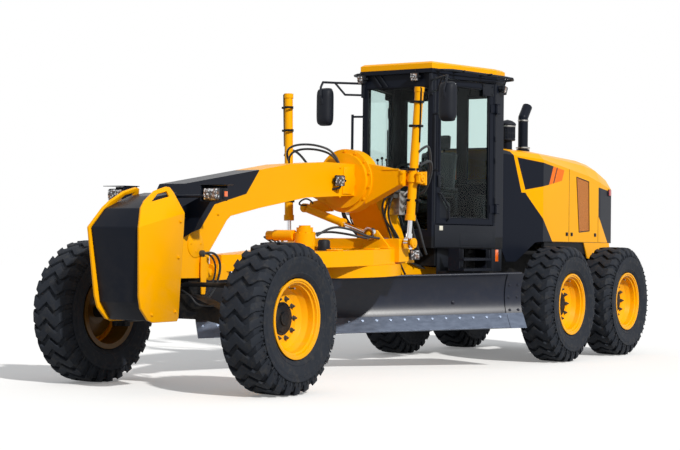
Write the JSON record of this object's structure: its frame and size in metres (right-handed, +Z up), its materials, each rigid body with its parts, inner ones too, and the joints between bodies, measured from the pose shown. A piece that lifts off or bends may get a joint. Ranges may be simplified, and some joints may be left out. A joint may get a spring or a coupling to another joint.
{
  "type": "motor grader",
  "caption": "Three-axle articulated motor grader with a glazed cab, gooseneck frame, steered and leaning front wheels, turning circle and a curved side-shifting blade.",
  "frame": {"origin": "on the ground at the middle of the machine's outer box", "axes": "-Y is the machine's front, +X its left side, +Z up"},
  "size_m": [2.6298, 9.02, 3.36],
  "materials": {
    "yellow_paint": "semi-gloss amber yellow paint",
    "wheel_paint": "semi-gloss amber yellow paint",
    "black_paint": "dark grey-black semi-gloss paint",
    "tyre_rubber": "matt black rubber",
    "glass": "clear cab glass",
    "blade_steel": "dark blue-grey paint, scuffed",
    "edge_steel": "bare dark steel",
    "chrome_rod": "polished chrome",
    "seat_cloth": "black woven cloth",
    "engine_iron": "grey-black cast iron",
    "orange_mesh": "orange-brown grille mesh"
  },
  "bodies": {
    "rear_frame": {"rear_frame": "black_paint", "rear_axle": "black_paint", "tandem_cases": "black_paint", "engine_block": "engine_iron", "hood": "yellow_paint", "side_shrouds": "black_paint", "tail_panel": "black_paint", "side_vents": "orange_mesh", "exhaust": "black_paint", "precleaner": "black_paint"},
    "front_frame": {"front_frame": "yellow_paint", "front_guards": "yellow_paint", "front_panel": "black_paint", "headlamps": "black_paint", "saddle": "yellow_paint", "front_axle": "black_paint", "cab_floor": "black_paint", "cab_frame": "black_paint", "cab_glass": "glass", "cab_roof": "yellow_paint", "seat": "seat_cloth", "console": "black_paint", "mirrors": "black_paint", "steps": "black_paint"},
    "lean_bracket_left": {"lean_bracket_left": "black_paint"},
    "lean_bracket_right": {"lean_bracket_right": "black_paint"},
    "knuckle_left": {"knuckle_left": "black_paint"},
    "knuckle_right": {"knuckle_right": "black_paint"},
    "lean_bar": {"lean_bar": "black_paint"},
    "tie_rod_end": {"tie_rod_end": "black_paint"},
    "tie_rod": {"tie_rod": "black_paint"},
    "door_left": {"door_left": "black_paint", "door_glass_left": "glass"},
    "door_right": {"door_right": "black_paint", "door_glass_right": "glass"},
    "lift_barrel_left": {"lift_barrel_left": "yellow_paint"},
    "lift_barrel_right": {"lift_barrel_right": "yellow_paint"},
    "lift_rod_left": {"lift_rod_left": "chrome_rod"},
    "lift_rod_right": {"lift_rod_right": "chrome_rod"},
    "shift_barrel": {"shift_barrel": "yellow_paint"},
    "shift_rod": {"shift_rod": "chrome_rod"},
    "drawbar": {"drawbar": "yellow_paint", "circle_drive": "yellow_paint"},
    "circle": {"circle": "yellow_paint"},
    "blade_carrier": {"blade_carrier": "blade_steel"},
    "moldboard": {"moldboard": "blade_steel", "cutting_edge": "edge_steel"},
    "wheel_front_left": {"rim_front_left": "wheel_paint", "tyre_front_left": "tyre_rubber"},
    "wheel_front_right": {"rim_front_right": "wheel_paint", "tyre_front_right": "tyre_rubber"},
    "wheel_mid_left": {"rim_mid_left": "wheel_paint", "tyre_mid_left": "tyre_rubber"},
    "wheel_mid_right": {"rim_mid_right": "wheel_paint", "tyre_mid_right": "tyre_rubber"},
    "wheel_rear_left": {"rim_rear_left": "wheel_paint", "tyre_rear_left": "tyre_rubber"},
    "wheel_rear_right": {"rim_rear_right": "wheel_paint", "tyre_rear_right": "tyre_rubber"}
  },
  "joints": [
    {"name": "articulation", "type": "hinge", "parent": "rear_frame", "child": "front_frame", "pos_m": [0, 1.458, 0.91], "axis": [0, 0, -1], "range_deg": [-20, 20]},
    {"name": "lean_left", "type": "hinge", "parent": "front_frame", "child": "lean_bracket_left", "pos_m": [0.69, -3.517, 0.64], "axis": [0, 1, 0], "range_deg": [-17, 17]},
    {"name": "steer_left", "type": "hinge", "parent": "lean_bracket_left", "child": "knuckle_left", "pos_m": [0.8, -3.517, 0.64], "axis": [0, 0, 1], "range_deg": [-42, 42]},
    {"name": "lean_right", "type": "hinge", "parent": "front_frame", "child": "lean_bracket_right", "pos_m": [-0.69, -3.517, 0.64], "axis": [0, 1, 0], "range_deg": [-17, 17]},
    {"name": "steer_right", "type": "hinge", "parent": "lean_bracket_right", "child": "knuckle_right", "pos_m": [-0.8, -3.517, 0.64], "axis": [0, 0, 1], "range_deg": [-42, 42]},
    {"name": "lean_bar_level", "type": "hinge", "parent": "lean_bracket_left", "child": "lean_bar", "pos_m": [0.69, -3.667, 0.955], "axis": [0, 1, 0], "range_deg": [-17, 17]},
    {"name": "tie_end_turn", "type": "hinge", "parent": "knuckle_left", "child": "tie_rod_end", "pos_m": [0.8, -3.292, 0.64], "axis": [0, 0, 1], "range_deg": [-42, 42]},
    {"name": "tie_rod_level", "type": "hinge", "parent": "tie_rod_end", "child": "tie_rod", "pos_m": [0.8, -3.292, 0.64], "axis": [0, 1, 0], "range_deg": [-17, 17]},
    {"name": "spin_front_left", "type": "hinge", "parent": "knuckle_left", "child": "wheel_front_left", "pos_m": [1.078, -3.517, 0.674], "axis": [1, 0, 0], "continuous": true},
    {"name": "spin_front_right", "type": "hinge", "parent": "knuckle_right", "child": "wheel_front_right", "pos_m": [-1.078, -3.517, 0.674], "axis": [1, 0, 0], "continuous": true},
    {"name": "spin_mid_left", "type": "hinge", "parent": "rear_frame", "child": "wheel_mid_left", "pos_m": [1.078, 2.113, 0.674], "axis": [1, 0, 0], "continuous": true},
    {"name": "spin_mid_right", "type": "hinge", "parent": "rear_frame", "child": "wheel_mid_right", "pos_m": [-1.078, 2.113, 0.674], "axis": [1, 0, 0], "continuous": true},
    {"name": "spin_rear_left", "type": "hinge", "parent": "rear_frame", "child": "wheel_rear_left", "pos_m": [1.078, 3.733, 0.674], "axis": [1, 0, 0], "continuous": true},
    {"name": "spin_rear_right", "type": "hinge", "parent": "rear_frame", "child": "wheel_rear_right", "pos_m": [-1.078, 3.733, 0.674], "axis": [1, 0, 0], "continuous": true},
    {"name": "drawbar_lift", "type": "hinge", "parent": "front_frame", "child": "drawbar", "pos_m": [0, -3.132, 1.06], "axis": [1, 0, 0], "range_deg": [-12, 0]},
    {"name": "circle_turn", "type": "hinge", "parent": "drawbar", "child": "circle", "pos_m": [0, -1.01829, 1.13381], "axis": [0, -0.0349, 0.9994], "range_deg": [-100, 0]},
    {"name": "blade_tilt", "type": "hinge", "parent": "circle", "child": "blade_carrier", "pos_m": [-0.36387, -0.69151, 0.52485], "axis": [0.6428, 0.7656, 0.0267], "range_deg": [-5, 35]},
    {"name": "blade_shift", "type": "slide", "parent": "blade_carrier", "child": "moldboard", "axis": [0.6428, 0.7656, 0.0267], "range_m": [-0.85, 0.15]},
    {"name": "lift_swing_left", "type": "hinge", "parent": "front_frame", "child": "lift_barrel_left", "pos_m": [0.784, -0.742, 2.03], "axis": [1, 0, 0], "range_deg": [-1, 6]},
    {"name": "lift_stroke_left", "type": "slide", "parent": "lift_barrel_left", "child": "lift_rod_left", "axis": [-0.046, -0.04, -0.9981], "range_m": [-0.02, 0.56]},
    {"name": "lift_swing_right", "type": "hinge", "parent": "front_frame", "child": "lift_barrel_right", "pos_m": [-0.784, -0.742, 2.03], "axis": [1, 0, 0], "range_deg": [-1, 6]},
    {"name": "lift_stroke_right", "type": "slide", "parent": "lift_barrel_right", "child": "lift_rod_right", "axis": [0.046, -0.04, -0.9981], "range_m": [-0.02, 0.56]},
    {"name": "shift_swing", "type": "hinge", "parent": "front_frame", "child": "shift_barrel", "pos_m": [-0.443, -0.917, 1.722], "axis": [0, 1, 0], "range_deg": [-2, 30]},
    {"name": "shift_stroke", "type": "slide", "parent": "shift_barrel", "child": "shift_rod", "axis": [0.9482, 0, -0.3176], "range_m": [-0.02, 0.3]},
    {"name": "door_left_open", "type": "hinge", "parent": "front_frame", "child": "door_left", "pos_m": [0.71819, 1.22314, 2.3], "axis": [0, 0, 1], "range_deg": [0, 100]},
    {"name": "door_right_open", "type": "hinge", "parent": "front_frame", "child": "door_right", "pos_m": [-0.71819, 1.22314, 2.3], "axis": [0, 0, -1], "range_deg": [0, 100]}
  ],
  "couplings": [
    {"joint": "steer_right", "follows": "steer_left", "ratio": 1},
    {"joint": "lean_right", "follows": "lean_left", "ratio": 1},
    {"joint": "lean_bar_level", "follows": "lean_left", "ratio": -1},
    {"joint": "tie_rod_level", "follows": "lean_left", "ratio": -0.86447},
    {"joint": "tie_end_turn", "follows": "steer_left", "ratio": -1},
    {"joint": "lift_swing_left", "follows": "drawbar_lift", "ratio": -0.17238},
    {"joint": "lift_swing_right", "follows": "drawbar_lift", "ratio": -0.17238},
    {"joint": "lift_stroke_left", "follows": "drawbar_lift", "m_per_rad": -2.3774},
    {"joint": "lift_stroke_right", "follows": "drawbar_lift", "m_per_rad": -2.3774},
    {"joint": "shift_swing", "follows": "drawbar_lift", "ratio": -2.0484},
    {"joint": "shift_stroke", "follows": "drawbar_lift", "m_per_rad": -1.0789}
  ]
}
